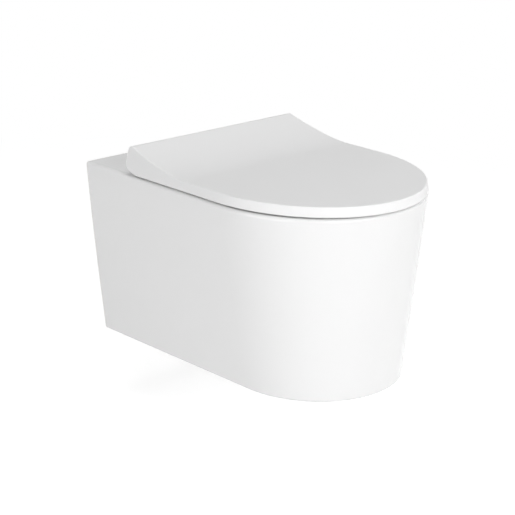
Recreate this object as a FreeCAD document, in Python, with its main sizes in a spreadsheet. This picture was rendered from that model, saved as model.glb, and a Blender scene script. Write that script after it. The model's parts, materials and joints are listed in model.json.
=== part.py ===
import FreeCAD, Part
import math
import os

import Sketcher
from FreeCAD import Matrix, Placement, Rotation, Vector

# Wall hung toilet: a one-piece china pan on two hidden wall anchors, with a seat
# ring and a wrap-over lid on two soft-close hinges.
#
# Frame: +Z is up, +Y goes into the wall and +X is to the right of someone facing
# the wall. The pan's back face lies at Y = 0. The origin is midway between the two
# wall studs, so the rim stands at Z = rim_z. "Rise" below is a height over the rim.

SIZES = [
    # name, millimetres or degrees, meaning
    # --- outside of the pan
    ("rim_z", 80, "rim above the wall studs"),
    ("pan_height", 295, "rim to underside"),
    ("pan_length", 497, "wall to front, at the rim"),
    ("pan_half", 183, "half the width at the rim"),
    ("waist_length", 489, "wall to front, at half height"),
    ("waist_half", 165, "half the width at half height"),
    ("foot_length", 479, "wall to front, at the underside"),
    ("foot_half", 143, "half the width at the underside"),
    ("rim_round", 5, "rounding of the outer rim edge"),
    ("foot_round", 6, "rounding of the lower edge"),
    ("china_wall", 10, "thickness of the outer skin and floor"),
    ("deck_wall", 12, "thickness of the deck under the seat"),
    ("back_wall", 12, "thickness of the back land"),
    ("trim", 2, "how far blanks and cutters run past what they cut"),
    ("window_half", 128, "half the width of the opening in the back"),
    ("window_top_land", 16, "land above the opening in the back"),
    ("window_foot_land", 26, "land below the opening in the back"),
    # --- bowl
    ("bowl_side_rim", 45, "rim width beside the mouth"),
    ("bowl_front_rim", 40, "rim width in front of the mouth"),
    ("bowl_rear", 153, "wall to the rear edge of the mouth"),
    ("mouth_round", 5, "rounding of the mouth's edge"),
    ("bowl_wall", 8, "thickness of the bowl"),
    ("shoulder_drop", 60, "rim to the bowl's shoulder"),
    ("shoulder_side", 55, "outside of the pan to the shoulder, sideways"),
    ("shoulder_front", 56, "front of the pan to the front of the shoulder"),
    ("shoulder_rear", 159, "wall to the rear of the shoulder"),
    ("waterline_drop", 170, "rim to the standing water"),
    ("waterline_half", 78, "half the width of the bowl at the water"),
    ("waterline_reach", 84, "half the length of the bowl at the water"),
    ("waterline_y", 272, "wall to the middle of the water"),
    ("sump_half", 36, "half the width of the sump"),
    ("sump_reach", 42, "half the length of the sump"),
    ("sump_y", 252, "wall to the middle of the sump"),
    ("sump_floor_half", 27, "half the width of the sump's floor"),
    ("sump_floor_reach", 31.5, "half the length of the sump's floor"),
    # --- trap and outlet
    ("trap_bore", 27, "radius of the trap's passage"),
    ("trap_wall", 8, "thickness of the trap's wall"),
    ("trap_foot_y", 176, "wall to the trap's lower bend"),
    ("trap_foot_round", 45, "radius of the lower bend"),
    ("weir_y", 118, "wall to the bend over the weir"),
    ("weir_drop", 122, "rim to the corner of the bend over the weir"),
    ("weir_round", 38, "radius of the bend over the weir"),
    ("outlet_drop", 100, "wall studs down to the outlet"),
    ("outlet_radius", 51, "outside radius of the outlet spigot"),
    ("outlet_wall", 10, "thickness of the outlet spigot"),
    ("outlet_setback", 12, "wall to the end of the spigot"),
    ("outlet_length", 40, "straight length of the spigot"),
    ("outlet_cone", 14, "length of the cone behind the spigot"),
    ("outlet_cone_end", 44, "radius of the cone's far end"),
    ("trap_overrun", 30, "trap's passage past the spigot's inner end"),
    # --- flush inlet
    ("inlet_rise", 35, "wall studs up to the flush inlet"),
    ("inlet_bore", 27.5, "radius of the flush inlet"),
    ("inlet_wall", 7, "thickness of the inlet"),
    ("inlet_setback", 14, "wall to the inlet's mouth"),
    ("inlet_depth", 42, "depth of the inlet's socket"),
    ("slot_half", 35, "half the width of the flush slot"),
    ("slot_gap", 16, "height of the flush slot"),
    ("slot_wall", 7, "wall around the flush channel"),
    ("channel_overlap", 20, "flush channel past the bowl's rear wall"),
    # --- wall anchors
    ("stud_distance", 180, "distance between the wall studs"),
    ("stud_hole", 6.5, "radius of the hole for an M12 stud"),
    ("plate_half", 24, "half the width and height of the anchor's wall plate"),
    ("plate_gauge", 8, "thickness of the wall plate"),
    ("arm_width", 24, "width of the anchor's arm"),
    ("arm_depth", 22, "height of the anchor's arm"),
    ("arm_drop", 22, "deck underside to the top of the arm"),
    ("boss_radius", 12, "radius of the boss under the deck"),
    ("stud_washer_radius", 12, "radius of the washer on the stud"),
    ("stud_washer_gauge", 2.5, "thickness of the washer on the stud"),
    ("nut_flats", 19, "width of the M12 nut across its flats"),
    ("nut_height", 10, "height of the M12 nut"),
    # --- clamp bolts, through the deck
    ("hinge_spacing", 155, "distance between the seat holes"),
    ("hole_y", 98, "wall to the seat holes"),
    ("clamp_bolt", 7, "radius of the hollow clamp bolt"),
    ("clamp_head", 11, "radius of the clamp bolt's head"),
    ("clamp_head_height", 3.5, "height of the clamp bolt's head"),
    ("clamp_reach", 40, "length of the clamp bolt under its head"),
    ("clamp_washer_gauge", 1.5, "thickness of the clamp washer"),
    ("deck_hole", 8, "radius of the seat hole in the deck"),
    ("counterbore", 13, "radius of the recess for the clamp bolt's head"),
    ("counterbore_depth", 5.5, "depth of that recess"),
    # --- hinges
    ("hinge_y", 92, "wall to the hinge axis"),
    ("axis_rise", 28, "rim to the hinge axis"),
    ("gasket_gauge", 1.5, "thickness of the rubber under the hinge plate"),
    ("base_radius", 24, "radius of the round hinge plate"),
    ("base_gauge", 4, "thickness of the hinge plate"),
    ("stud_shank", 4, "radius of the hinge stud's thread"),
    ("stud_reach", 24, "thread below the hinge plate"),
    ("stud_flange", 7, "radius of the stud's flange"),
    ("stud_flange_gauge", 1.5, "thickness of the stud's flange"),
    ("stud_neck", 5, "radius of the stud above its flange"),
    ("stud_groove", 4, "radius of the latch groove"),
    ("stud_groove_rise", 5, "flange to the groove's middle"),
    ("stud_groove_gap", 3.4, "width of the latch groove"),
    ("stud_height", 10, "stud above its flange"),
    ("post_width", 20, "hinge post along the axis"),
    ("post_round", 7, "radius of the post's head around the pin"),
    ("post_front", 19, "hinge axis to the front of the post"),
    ("post_heel", 2, "hinge axis back to the rear of the post's leg"),
    ("pin_radius", 4, "radius of the hinge pin"),
    ("bush_radius", 6, "outside radius of bush and damper"),
    ("barrel_radius", 8.5, "outside radius of the hinge barrels"),
    ("barrel_length", 24.5, "length of a hinge barrel"),
    ("barrel_gap", 1, "post to barrel, along the axis"),
    ("barrel_end", 2, "closed end of a barrel"),
    ("pin_short", 2.5, "pin end to the closed end of the barrel's bore"),
    # --- release buttons
    ("button_radius", 4, "radius of the release button"),
    ("button_proud", 3, "button in front of its post"),
    ("button_body", 4, "button inside its post"),
    ("button_travel", 2.5, "how far the button is pushed"),
    # --- seat ring
    ("seat_gap", 3, "rim to the underside of the ring"),
    ("ring_gauge", 9, "thickness of the ring"),
    ("ring_rear", 146, "wall to the ring's straight rear edge"),
    ("ring_hole_half", 108, "half the width of the ring's hole"),
    ("ring_front_band", 55, "ring width in front of its hole"),
    ("ring_hole_rear", 186, "wall to the rear of the ring's hole"),
    ("ring_round", 3.5, "rounding of the ring's upper edges"),
    ("arm_root", 8, "how far each arm runs into the ring"),
    ("arm_step", 0.5, "top of the ring to the top of the arm's root"),
    ("arm_lean", 22, "degrees by which the arm's sides lean at the barrel"),
    # --- lid
    ("lid_lift", 2.5, "rim to the lid's lower edge"),
    ("lid_rise", 18, "rim to the lid's flat top"),
    ("lid_overhang", 1, "lid past the side of the pan"),
    ("lid_front_overhang", 3, "lid past the front of the pan"),
    ("lid_nose", 200, "depth of the lid's rounded front"),
    ("lid_lean", 8, "how far each side leans in by the crest's height"),
    ("lid_wall", 3.5, "thickness of the lid"),
    ("lid_round", 1.8, "rounding of the lid's outer edges"),
    ("lid_rear", 94, "wall to the lid's rear face"),
    ("crest_rise", 44, "rim to the crest"),
    ("crest_y", 104, "wall to the crest"),
    ("crest_band", 5.8, "lid's top kept behind the crest over the hinges"),
    ("ramp_foot", 229, "wall to the foot of the ramp"),
    ("ramp_power", 1.6, "how late the ramp climbs: 1 is a straight slope"),
    ("tail_reach", 32, "length of the rounded corner under the lid's tail"),
    ("tail_height", 14, "height of that corner"),
    ("web_front", 18.7, "hinge axis to the front of the lid's webs"),
    ("web_back", 3.4, "hinge axis to the rear of the lid's webs"),
    # --- buffers
    ("buffer_length", 26, "length of a buffer"),
    ("buffer_width", 12, "width of a buffer"),
    ("buffer_angle", 35, "front buffers, degrees off the middle"),
    ("rear_buffer_inset", 31, "side of the pan to the rear buffers"),
    ("front_buffer_inset", 20, "side of the pan to the front buffers"),
    ("rear_buffer_y", 200, "wall to the rear buffers"),
    # --- clearances
    ("running_fit", 0.05, "radial clearance of a pin that turns"),
    ("loose_fit", 0.3, "clearance of parts that slide or pass"),
    ("seated_fit", 0.02, "radial clearance of parts that sit fixed"),
    ("ring_clearance", 2, "ring to the inside of the lid's skirt"),
    ("swing_clearance", 2, "lid to the hinge hardware that it swings past"),
    ("floor_clearance", 1, "underside of the bowl to the pan's floor"),
    # --- sizes that follow from others
    ("bowl_half", "=pan_half - bowl_side_rim", "half the width of the bowl's mouth"),
    ("shoulder_half", "=pan_half - shoulder_side", "half the width of the shoulder"),
    ("lid_half", "=pan_half + lid_overhang", "half the width of the lid at its lower edge"),
    ("lid_length", "=pan_length + lid_front_overhang", "wall to the lid's front"),
    ("turn_y", "=pan_length - pan_half", "wall to the start of the rounded front"),
    ("trap_outside", "=trap_bore + trap_wall", "outside radius of the trap"),
    ("sump_drop", "=pan_height - china_wall - trap_outside", "rim to the middle of the sump"),
    ("sump_floor", "=trap_outside - bowl_wall - floor_clearance", "middle of the sump to its floor"),
]

SIDES = (("left", -1), ("right", 1))
RAMP_STEPS = 12
HALF_TURN = 180
# How far a curve's handles reach towards the corner to draw a quarter oval
QUARTER_PULL = 0.5523

doc = FreeCAD.newDocument("wall_hung_toilet")
sheet = doc.addObject("Spreadsheet::Sheet", "sizes")
for row, (name, value, meaning) in enumerate(SIZES, start=1):
    sheet.set("A%d" % row, name)
    sheet.set("B%d" % row, str(value))
    sheet.set("C%d" % row, meaning)
    sheet.setAlias("B%d" % row, name)
doc.recompute()

NAMES = sorted((row[0] for row in SIZES), key=len, reverse=True)


def size(name):
    """The value of one cell of the sheet."""
    return float(sheet.get(name))


def linked(text):
    """An expression in which each size name points at its cell."""
    words = []
    word = ""
    for letter in text + " ":
        if letter.isalnum() or letter == "_":
            word += letter
            continue
        words.append("sizes." + word if word in NAMES else word)
        words.append(letter)
        word = ""
    return "".join(words).strip()


def bind(thing, **rules):
    """Tie properties to the sheet: bind(box, Length="pan_half * 2")."""
    for prop, rule in rules.items():
        thing.setExpression(prop, linked(rule))
    return thing


def place(thing, x="0", y="0", z="0", turn=None):
    """Tie an object's place to the sheet, after an optional fixed turn."""
    if turn is not None:
        thing.Placement = Placement(Vector(), turn)
    for axis, rule in zip("xyz", (x, y, z)):
        thing.setExpression("Placement.Base." + axis, linked(rule))
    return thing


ALONG_X = Rotation(Vector(0, 1, 0), 90)
ALONG_Y = Rotation(Vector(1, 0, 0), -90)

# Heights and places that several pieces share
DECK = "rim_z - deck_wall"
AXIS_Z = "rim_z + axis_rise"
HINGE_X = "hinge_spacing / 2"
PLATE_TOP = "rim_z + gasket_gauge + base_gauge"
FLOOR = "rim_z - pan_height"


def box(name, x, y, z):
    """A box between two values on each axis."""
    thing = doc.addObject("Part::Box", name)
    bind(
        thing,
        Length="(%s) - (%s)" % (x[1], x[0]),
        Width="(%s) - (%s)" % (y[1], y[0]),
        Height="(%s) - (%s)" % (z[1], z[0]),
    )
    return place(thing, x[0], y[0], z[0])


def rod(name, radius, length, x="0", y="0", z="0", turn=None):
    """A cylinder that starts at x, y, z and runs along +Z, or as turned."""
    thing = doc.addObject("Part::Cylinder", name)
    bind(thing, Radius=radius, Height=length)
    return place(thing, x, y, z, turn)


def fuse(name, things):
    whole = doc.addObject("Part::MultiFuse", name)
    whole.Shapes = things
    whole.Refine = True
    return whole


def cut(name, base, tools):
    tool = tools[0] if len(tools) == 1 else fuse(name + "_cutters", tools)
    whole = doc.addObject("Part::Cut", name)
    whole.Base = base
    whole.Tool = tool
    whole.Refine = True
    return whole


def common(name, base, keep):
    """The part of base that lies inside keep."""
    whole = doc.addObject("Part::MultiCommon", name)
    whole.Shapes = [base, keep]
    whole.Refine = True
    return whole


def solid(name, shape):
    """A shape made with Part's functions from the sheet's sizes."""
    thing = doc.addObject("Part::Feature", name)
    thing.Shape = shape
    return thing


def rounded(name, base, radius, wanted):
    """Fillet the edges of base that the test picks out."""
    doc.recompute()
    chosen = [
        (index, size(radius), size(radius))
        for index, edge in enumerate(base.Shape.Edges, start=1)
        if wanted(edge)
    ]
    if not chosen:
        raise RuntimeError("no edge to round on " + name)
    whole = doc.addObject("Part::Fillet", name)
    whole.Base = base
    whole.Edges = chosen
    return whole


def lies_at(edge, axis, value, slack=0.01):
    """True for an edge whose whole length has one coordinate."""
    bounds = edge.BoundBox
    low, high = {
        "x": (bounds.XMin, bounds.XMax),
        "y": (bounds.YMin, bounds.YMax),
        "z": (bounds.ZMin, bounds.ZMax),
    }[axis]
    return abs(low - value) < slack and abs(high - value) < slack


# ---------------------------------------------------------------- china pan


def pan_outline(name, half, length, back, height):
    """A level section of the pan: straight sides and a half-round front."""
    sketch = doc.addObject("Sketcher::SketchObject", name)
    start_half = 100.0
    start_length = 300.0
    turn_y = -(start_length - start_half)
    corner = {
        "rear_left": Vector(-start_half, 0, 0),
        "rear_right": Vector(start_half, 0, 0),
        "front_left": Vector(-start_half, turn_y, 0),
        "front_right": Vector(start_half, turn_y, 0),
    }
    rear = sketch.addGeometry(Part.LineSegment(corner["rear_left"], corner["rear_right"]))
    right = sketch.addGeometry(Part.LineSegment(corner["rear_right"], corner["front_right"]))
    circle = Part.Circle(Vector(0, turn_y, 0), Vector(0, 0, 1), start_half)
    nose = sketch.addGeometry(Part.ArcOfCircle(circle, math.pi, 2 * math.pi))
    left = sketch.addGeometry(Part.LineSegment(corner["front_left"], corner["rear_left"]))
    first, last, middle = 1, 2, 3
    rules = [
        ("Coincident", rear, last, right, first),
        ("Tangent", right, last, nose, last),
        ("Tangent", nose, first, left, first),
        ("Coincident", left, last, rear, first),
        ("Horizontal", rear),
        ("Vertical", right),
        ("Vertical", left),
        ("PointOnObject", nose, middle, -2),
    ]
    for rule in rules:
        sketch.addConstraint(Sketcher.Constraint(*rule))
    radius = sketch.addConstraint(Sketcher.Constraint("Radius", nose, start_half))
    setback = sketch.addConstraint(
        Sketcher.Constraint("DistanceY", nose, middle, -1, 1, start_length - start_half)
    )
    rear_y = sketch.addConstraint(Sketcher.Constraint("DistanceY", rear, first, -1, 1, 1.0))
    sketch.setExpression("Constraints[%d]" % radius, linked(half))
    sketch.setExpression("Constraints[%d]" % setback, linked("(%s) - (%s)" % (length, half)))
    sketch.setExpression("Constraints[%d]" % rear_y, linked(back))
    return place(sketch, z=height)


def pan_block(name, inset, back, top, bottom):
    """The pan's outer form, or its hollow when inset by the wall."""
    middle = "rim_z - pan_height / 2"
    levels = [
        ("foot", "foot_half", "foot_length", bottom),
        ("waist", "waist_half", "waist_length", middle),
        ("rim", "pan_half", "pan_length", top),
    ]
    loft = doc.addObject("Part::Loft", name)
    loft.Sections = [
        pan_outline(
            "%s_%s" % (name, level),
            "%s - %s" % (half, inset),
            "%s - %s" % (length, inset),
            back,
            height,
        )
        for level, half, length, height in levels
    ]
    loft.Solid = True
    return loft


def half_oval(half_x, half_y, y, z, start):
    """Half of a level oval, from one side to the other; start is in degrees."""
    stretch = Matrix()
    stretch.A11, stretch.A22 = half_x, half_y
    stretch.A24, stretch.A34 = y, z
    arc = Part.makeCircle(1.0, Vector(), Vector(0, 0, 1), start, start + HALF_TURN)
    return arc.transformGeometry(stretch)


def oval(half_x, half_y, y, z):
    """A level oval, half_x to each side and half_y to the front and back."""
    return Part.Wire([half_oval(half_x, half_y, y, z, start) for start in (0, HALF_TURN)])


def bowl_block(extra, name):
    """The inside of the bowl, or its outside when grown by the wall."""
    rim = size("rim_z")
    front = size("pan_length") - size("bowl_front_rim")
    shoulder_front = size("pan_length") - size("shoulder_front")
    levels = [
        (
            size("sump_floor_half"),
            size("sump_floor_reach"),
            size("sump_y"),
            rim - size("sump_drop") - size("sump_floor") - extra,
        ),
        (size("sump_half"), size("sump_reach"), size("sump_y"), rim - size("sump_drop")),
        (
            size("waterline_half"),
            size("waterline_reach"),
            size("waterline_y"),
            rim - size("waterline_drop"),
        ),
        (
            size("shoulder_half"),
            (shoulder_front - size("shoulder_rear")) / 2,
            (shoulder_front + size("shoulder_rear")) / 2,
            rim - size("shoulder_drop"),
        ),
        (
            size("bowl_half"),
            (front - size("bowl_rear")) / 2,
            (front + size("bowl_rear")) / 2,
            rim,
        ),
    ]
    wires = [oval(a + extra, b + extra, -y, z) for a, b, y, z in levels]
    return solid(name, Part.makeLoft(wires, True, False))


def trap_path():
    """The trap's middle line: into the sump, up, over the weir, into the outlet."""
    low = size("rim_z") - size("sump_drop")
    weir = Vector(0, -size("weir_y"), size("rim_z") - size("weir_drop"))
    outlet = Vector(0, -size("outlet_setback") - size("outlet_length"), -size("outlet_drop"))
    fall = (outlet - weir).normalize()
    corners = [
        Vector(0, -size("sump_y"), low),
        Vector(0, -size("trap_foot_y"), low),
        weir,
        outlet + fall * size("trap_overrun"),
    ]
    radii = [size("trap_foot_round"), size("weir_round")]
    edges = []
    start = corners[0]
    for corner, after, radius in zip(corners[1:], corners[2:], radii):
        before = (corner - start).normalize()
        onward = (after - corner).normalize()
        turn = before.getAngle(onward)
        run = radius * math.tan(turn / 2)
        enter = corner - before * run
        leave = corner + onward * run
        inward = (onward - before).normalize()
        middle = corner + inward * (radius / math.cos(turn / 2) - radius)
        edges.append(Part.LineSegment(start, enter).toShape())
        edges.append(Part.Arc(enter, middle, leave).toShape())
        start = leave
    edges.append(Part.LineSegment(start, corners[-1]).toShape())
    return Part.Wire(edges)


def trap_tube(name, radius):
    """A round bar along the trap's middle line."""
    path = trap_path()
    start = path.Edges[0].Vertexes[0].Point
    ring = Part.Wire(Part.makeCircle(radius, start, Vector(0, 1, 0)))
    return solid(name, path.makePipeShell([ring], True, True))


def make_skin():
    """The pan's outside with its deck, as six pieces that meet face to face."""
    blank = pan_block("pan_blank", "0", "-trim", "rim_z", FLOOR)
    back = size("trim")
    edged = rounded(
        "pan_edged",
        blank,
        "rim_round",
        lambda edge: lies_at(edge, "z", size("rim_z")) and not lies_at(edge, "y", back),
    )
    footed = rounded(
        "pan_footed",
        edged,
        "foot_round",
        lambda edge: lies_at(edge, "z", size("rim_z") - size("pan_height"))
        and not lies_at(edge, "y", back),
    )
    across = ("-pan_half - trim", "pan_half + trim")
    along = ("-pan_length - trim", "0")
    floor_top = FLOOR + " + china_wall"
    hollow = pan_block("pan_hollow", "china_wall", "-trim", DECK + " + trim", FLOOR)

    floor_zone = box("floor_zone", across, along, (FLOOR + " - trim", floor_top))
    pan_floor = common("pan_floor", footed, floor_zone)

    band_zone = box("band_zone", across, ("-pan_length - trim", "-back_wall"), (floor_top, DECK))
    band = cut("band", common("band_blank", footed, band_zone), [hollow])
    nose_zone = box("nose_zone", across, ("-pan_length - trim", "-turn_y"), (floor_top, DECK))
    pan_nose = common("pan_nose", band, nose_zone)
    left_zone = box(
        "left_zone", ("-pan_half - trim", "0"), ("-turn_y", "-back_wall"), (floor_top, DECK)
    )
    pan_side_left = common("pan_side_left", band, left_zone)
    right_zone = box(
        "right_zone", ("0", "pan_half + trim"), ("-turn_y", "-back_wall"), (floor_top, DECK)
    )
    pan_side_right = common("pan_side_right", band, right_zone)

    back_zone = box("back_zone", across, ("-back_wall", "0"), (floor_top, DECK))
    window = box(
        "back_window",
        ("-window_half", "window_half"),
        ("-back_wall - trim", "trim"),
        (FLOOR + " + window_foot_land", "rim_z - window_top_land"),
    )
    pan_back = cut("pan_back", common("back_blank", footed, back_zone), [window])
    pan_deck = make_deck(footed, across, along)
    return [pan_deck, pan_nose, pan_side_left, pan_side_right, pan_floor, pan_back]


def make_deck(footed, across, along):
    """The deck, with the bowl's mouth and the two seat holes."""
    deck_zone = box("deck_zone", across, along, (DECK, "rim_z + trim"))
    holes = [bowl_block(0, "deck_mouth"), make_inlet_outside("deck_inlet")]
    for side, sign in SIDES:
        x = "%d * %s" % (sign, HINGE_X)
        holes.append(
            rod(
                "deck_hole_" + side,
                "deck_hole",
                "deck_wall + 2 * trim",
                x,
                "-hole_y",
                DECK + " - trim",
            )
        )
        holes.append(
            rod(
                "counterbore_" + side,
                "counterbore",
                "counterbore_depth + trim",
                x,
                "-hole_y",
                "rim_z - counterbore_depth",
            )
        )
    plain = cut("deck_plain", common("deck_blank", footed, deck_zone), holes)
    mouth_side = size("pan_half") - size("bowl_side_rim")
    return rounded(
        "pan_deck",
        plain,
        "mouth_round",
        lambda edge: lies_at(edge, "z", size("rim_z"))
        and abs(edge.Vertexes[0].X - mouth_side) < size("trim"),
    )


def make_inlet_outside(name):
    """The outside of the flush inlet's socket."""
    return rod(
        name,
        "inlet_bore + inlet_wall",
        "inlet_depth + slot_wall",
        y="-inlet_setback - inlet_depth - slot_wall",
        z="inlet_rise",
        turn=ALONG_Y,
    )


def make_waterways():
    """Bowl, trap with its outlet, and flush inlet, which meet face to face."""
    inside = bowl_block(0, "bowl_inside")
    outside = bowl_block(size("bowl_wall"), "bowl_outside")
    passage = trap_tube("trap_passage", size("trap_bore"))
    tube = trap_tube("trap_outer", size("trap_outside"))
    across = ("-pan_half", "pan_half")
    along = ("-pan_length", "0")
    channel_front = "-bowl_rear - bowl_wall - channel_overlap"
    slot = box(
        "flush_slot",
        ("-slot_half", "slot_half"),
        (channel_front, "-inlet_setback - inlet_depth + trim"),
        ("inlet_rise - slot_gap / 2", "inlet_rise + slot_gap / 2"),
    )
    bowl = cut("bowl_whole", outside, [inside, passage, slot])
    waterline = "rim_z - waterline_drop"
    lower_zone = box("lower_zone", across, along, (FLOOR, waterline))
    bowl_lower = common("bowl_lower", bowl, lower_zone)
    upper_zone = box("upper_zone", across, along, (waterline, DECK))
    upper = common("bowl_over_water", bowl, upper_zone)
    rear_zone = box(
        "rear_zone",
        ("-slot_half - slot_wall", "slot_half + slot_wall"),
        ("-waterline_y", "0"),
        (waterline, DECK),
    )
    bowl_rear = common("bowl_rear", upper, rear_zone)
    front = cut("bowl_before_slot", upper, [rear_zone])
    left_half = box("left_half", ("-pan_half", "0"), along, (waterline, DECK))
    right_half = box("right_half", ("0", "pan_half"), along, (waterline, DECK))
    bowl_left = common("bowl_left", front, left_half)
    bowl_right = common("bowl_right", front, right_half)

    spigot_end = "-outlet_setback - outlet_length"
    spigot = rod(
        "spigot_outer", "outlet_radius", "outlet_length", y=spigot_end, z="-outlet_drop", turn=ALONG_Y
    )
    cone = doc.addObject("Part::Cone", "spigot_cone")
    bind(cone, Radius1="outlet_cone_end", Radius2="outlet_radius", Height="outlet_cone")
    place(cone, y=spigot_end + " - outlet_cone", z="-outlet_drop", turn=ALONG_Y)
    spigot_bore = rod(
        "spigot_bore",
        "outlet_radius - outlet_wall",
        "outlet_setback + outlet_length",
        y=spigot_end,
        z="-outlet_drop",
        turn=ALONG_Y,
    )
    trap_body = fuse("trap_body", [tube, spigot, cone])
    trap = cut("trap_whole", trap_body, [passage, spigot_bore, outside])
    riser_zone = box("riser_zone", across, ("-pan_length", "-weir_y"), (FLOOR, "rim_z"))
    fall_zone = box("fall_zone", across, ("-weir_y", "trim"), (FLOOR, "rim_z"))
    trap_riser = common("trap_riser", trap, riser_zone)
    trap_outlet = common("trap_outlet", trap, fall_zone)

    channel = box(
        "channel_outer",
        ("-slot_half - slot_wall", "slot_half + slot_wall"),
        (channel_front, "-inlet_setback - inlet_depth"),
        ("inlet_rise - slot_gap / 2 - slot_wall", "inlet_rise + slot_gap / 2 + slot_wall"),
    )
    inlet_bore = rod(
        "inlet_bore_cut",
        "inlet_bore",
        "inlet_depth + trim",
        y="-inlet_setback - inlet_depth",
        z="inlet_rise",
        turn=ALONG_Y,
    )
    inlet_body = fuse("inlet_body", [make_inlet_outside("inlet_outer"), channel])
    inlet = cut("inlet_whole", inlet_body, [inlet_bore, slot, outside])
    seam = "-inlet_setback - inlet_depth"
    socket_zone = box("socket_zone", across, (seam, "0"), (FLOOR, "rim_z"))
    channel_zone = box("channel_zone", across, ("-pan_length", seam), (FLOOR, "rim_z"))
    flush_inlet = common("flush_inlet", inlet, socket_zone)
    flush_channel = common("flush_channel", inlet, channel_zone)
    bowl_pieces = [bowl_left, bowl_right, bowl_rear, bowl_lower]
    return bowl_pieces + [trap_riser, trap_outlet, flush_inlet, flush_channel]


# ---------------------------------------------------------------- wall anchors


def make_anchor(side, sign):
    """A steel plate on the wall stud, with an arm to a boss under the deck."""
    stud_x = "%d * stud_distance / 2" % sign
    seat_x = "%d * %s" % (sign, HINGE_X)
    plate = box(
        "plate_" + side,
        (stud_x + " - plate_half", stud_x + " + plate_half"),
        ("-plate_gauge", "0"),
        ("-plate_half", "plate_half"),
    )
    arm_top = DECK + " - arm_drop"
    arm = box(
        "arm_" + side,
        (seat_x + " - arm_width / 2", seat_x + " + arm_width / 2"),
        ("-hole_y", "-plate_gauge / 2"),
        (arm_top + " - arm_depth", arm_top),
    )
    neck = box(
        "neck_" + side,
        (seat_x + " - arm_width / 2", seat_x + " + arm_width / 2"),
        ("-plate_gauge", "0"),
        ("0", arm_top),
    )
    boss = rod(
        "boss_" + side,
        "boss_radius",
        "arm_drop + arm_depth",
        seat_x,
        "-hole_y",
        arm_top + " - arm_depth",
    )
    stud_hole = rod(
        "stud_hole_" + side,
        "stud_hole",
        "plate_gauge + 2 * trim",
        stud_x,
        "-plate_gauge - trim",
        "0",
        ALONG_Y,
    )
    bolt_hole = rod(
        "anchor_thread_" + side,
        "clamp_bolt + seated_fit",
        "arm_drop + arm_depth + 2 * trim",
        seat_x,
        "-hole_y",
        arm_top + " - arm_depth - trim",
    )
    body = fuse("anchor_body_" + side, [plate, neck, arm, boss])
    return cut("wall_anchor_" + side, body, [stud_hole, bolt_hole])


def make_stud_hardware():
    """Washers and hexagon nuts on the wall studs, each kind in one node."""
    washers = []
    nuts = []
    for side, sign in SIDES:
        x = "%d * stud_distance / 2" % sign
        washer_y = "-plate_gauge - stud_washer_gauge"
        disc = rod(
            "washer_disc_" + side, "stud_washer_radius", "stud_washer_gauge", x, washer_y, "0", ALONG_Y
        )
        hole = rod(
            "washer_hole_" + side,
            "stud_hole",
            "stud_washer_gauge + 2 * trim",
            x,
            washer_y + " - trim",
            "0",
            ALONG_Y,
        )
        washers.append(cut("washer_" + side, disc, [hole]))
        hexagon = doc.addObject("Part::Prism", "nut_hexagon_" + side)
        hexagon.Polygon = 6
        bind(hexagon, Circumradius="nut_flats / 2 / cos(30)", Height="nut_height")
        place(hexagon, x, washer_y + " - nut_height", "0", ALONG_Y)
        bore = rod(
            "nut_bore_" + side,
            "stud_hole",
            "nut_height + 2 * trim",
            x,
            washer_y + " - nut_height - trim",
            "0",
            ALONG_Y,
        )
        nuts.append(cut("nut_" + side, hexagon, [bore]))
    return [grouped("stud_washers", washers), grouped("stud_nuts", nuts)]


def grouped(name, things):
    """Separate solids of one kind in one node."""
    group = doc.addObject("Part::Compound", name)
    group.Links = things
    return group


def turned_part(name, levels, x, z):
    """A body turned about a vertical axis: levels are (radius, from, to) rules."""
    pieces = [
        rod(
            "%s_step_%d" % (name, number),
            radius,
            "(%s) - (%s)" % (top, bottom),
            x,
            "-hole_y",
            "%s + (%s)" % (z, bottom),
        )
        for number, (radius, bottom, top) in enumerate(levels)
    ]
    return fuse(name, pieces)


def make_clamp_hardware():
    """Hollow bolts that pull the deck down on the anchors, and their washers."""
    bolts = []
    washers = []
    recess = "rim_z - counterbore_depth"
    for side, sign in SIDES:
        x = "%d * %s" % (sign, HINGE_X)
        disc = rod(
            "clamp_disc_" + side, "counterbore - loose_fit", "clamp_washer_gauge", x, "-hole_y", recess
        )
        hole = rod(
            "clamp_hole_" + side,
            "clamp_bolt + loose_fit",
            "clamp_washer_gauge + 2 * trim",
            x,
            "-hole_y",
            recess + " - trim",
        )
        washers.append(cut("clamp_washer_" + side, disc, [hole]))
        seat = recess + " + clamp_washer_gauge"
        bolt = turned_part(
            "clamp_body_" + side,
            [("clamp_bolt", "-clamp_reach", "0"), ("clamp_head", "0", "clamp_head_height")],
            x,
            seat,
        )
        thread = rod(
            "clamp_thread_" + side,
            "stud_shank + seated_fit",
            "clamp_reach + clamp_head_height + 2 * trim",
            x,
            "-hole_y",
            seat + " - clamp_reach - trim",
        )
        bolts.append(cut("clamp_bolt_" + side, bolt, [thread]))
    return [grouped("clamp_washers", washers), grouped("clamp_bolts", bolts)]


# ---------------------------------------------------------------- hinges


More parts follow.
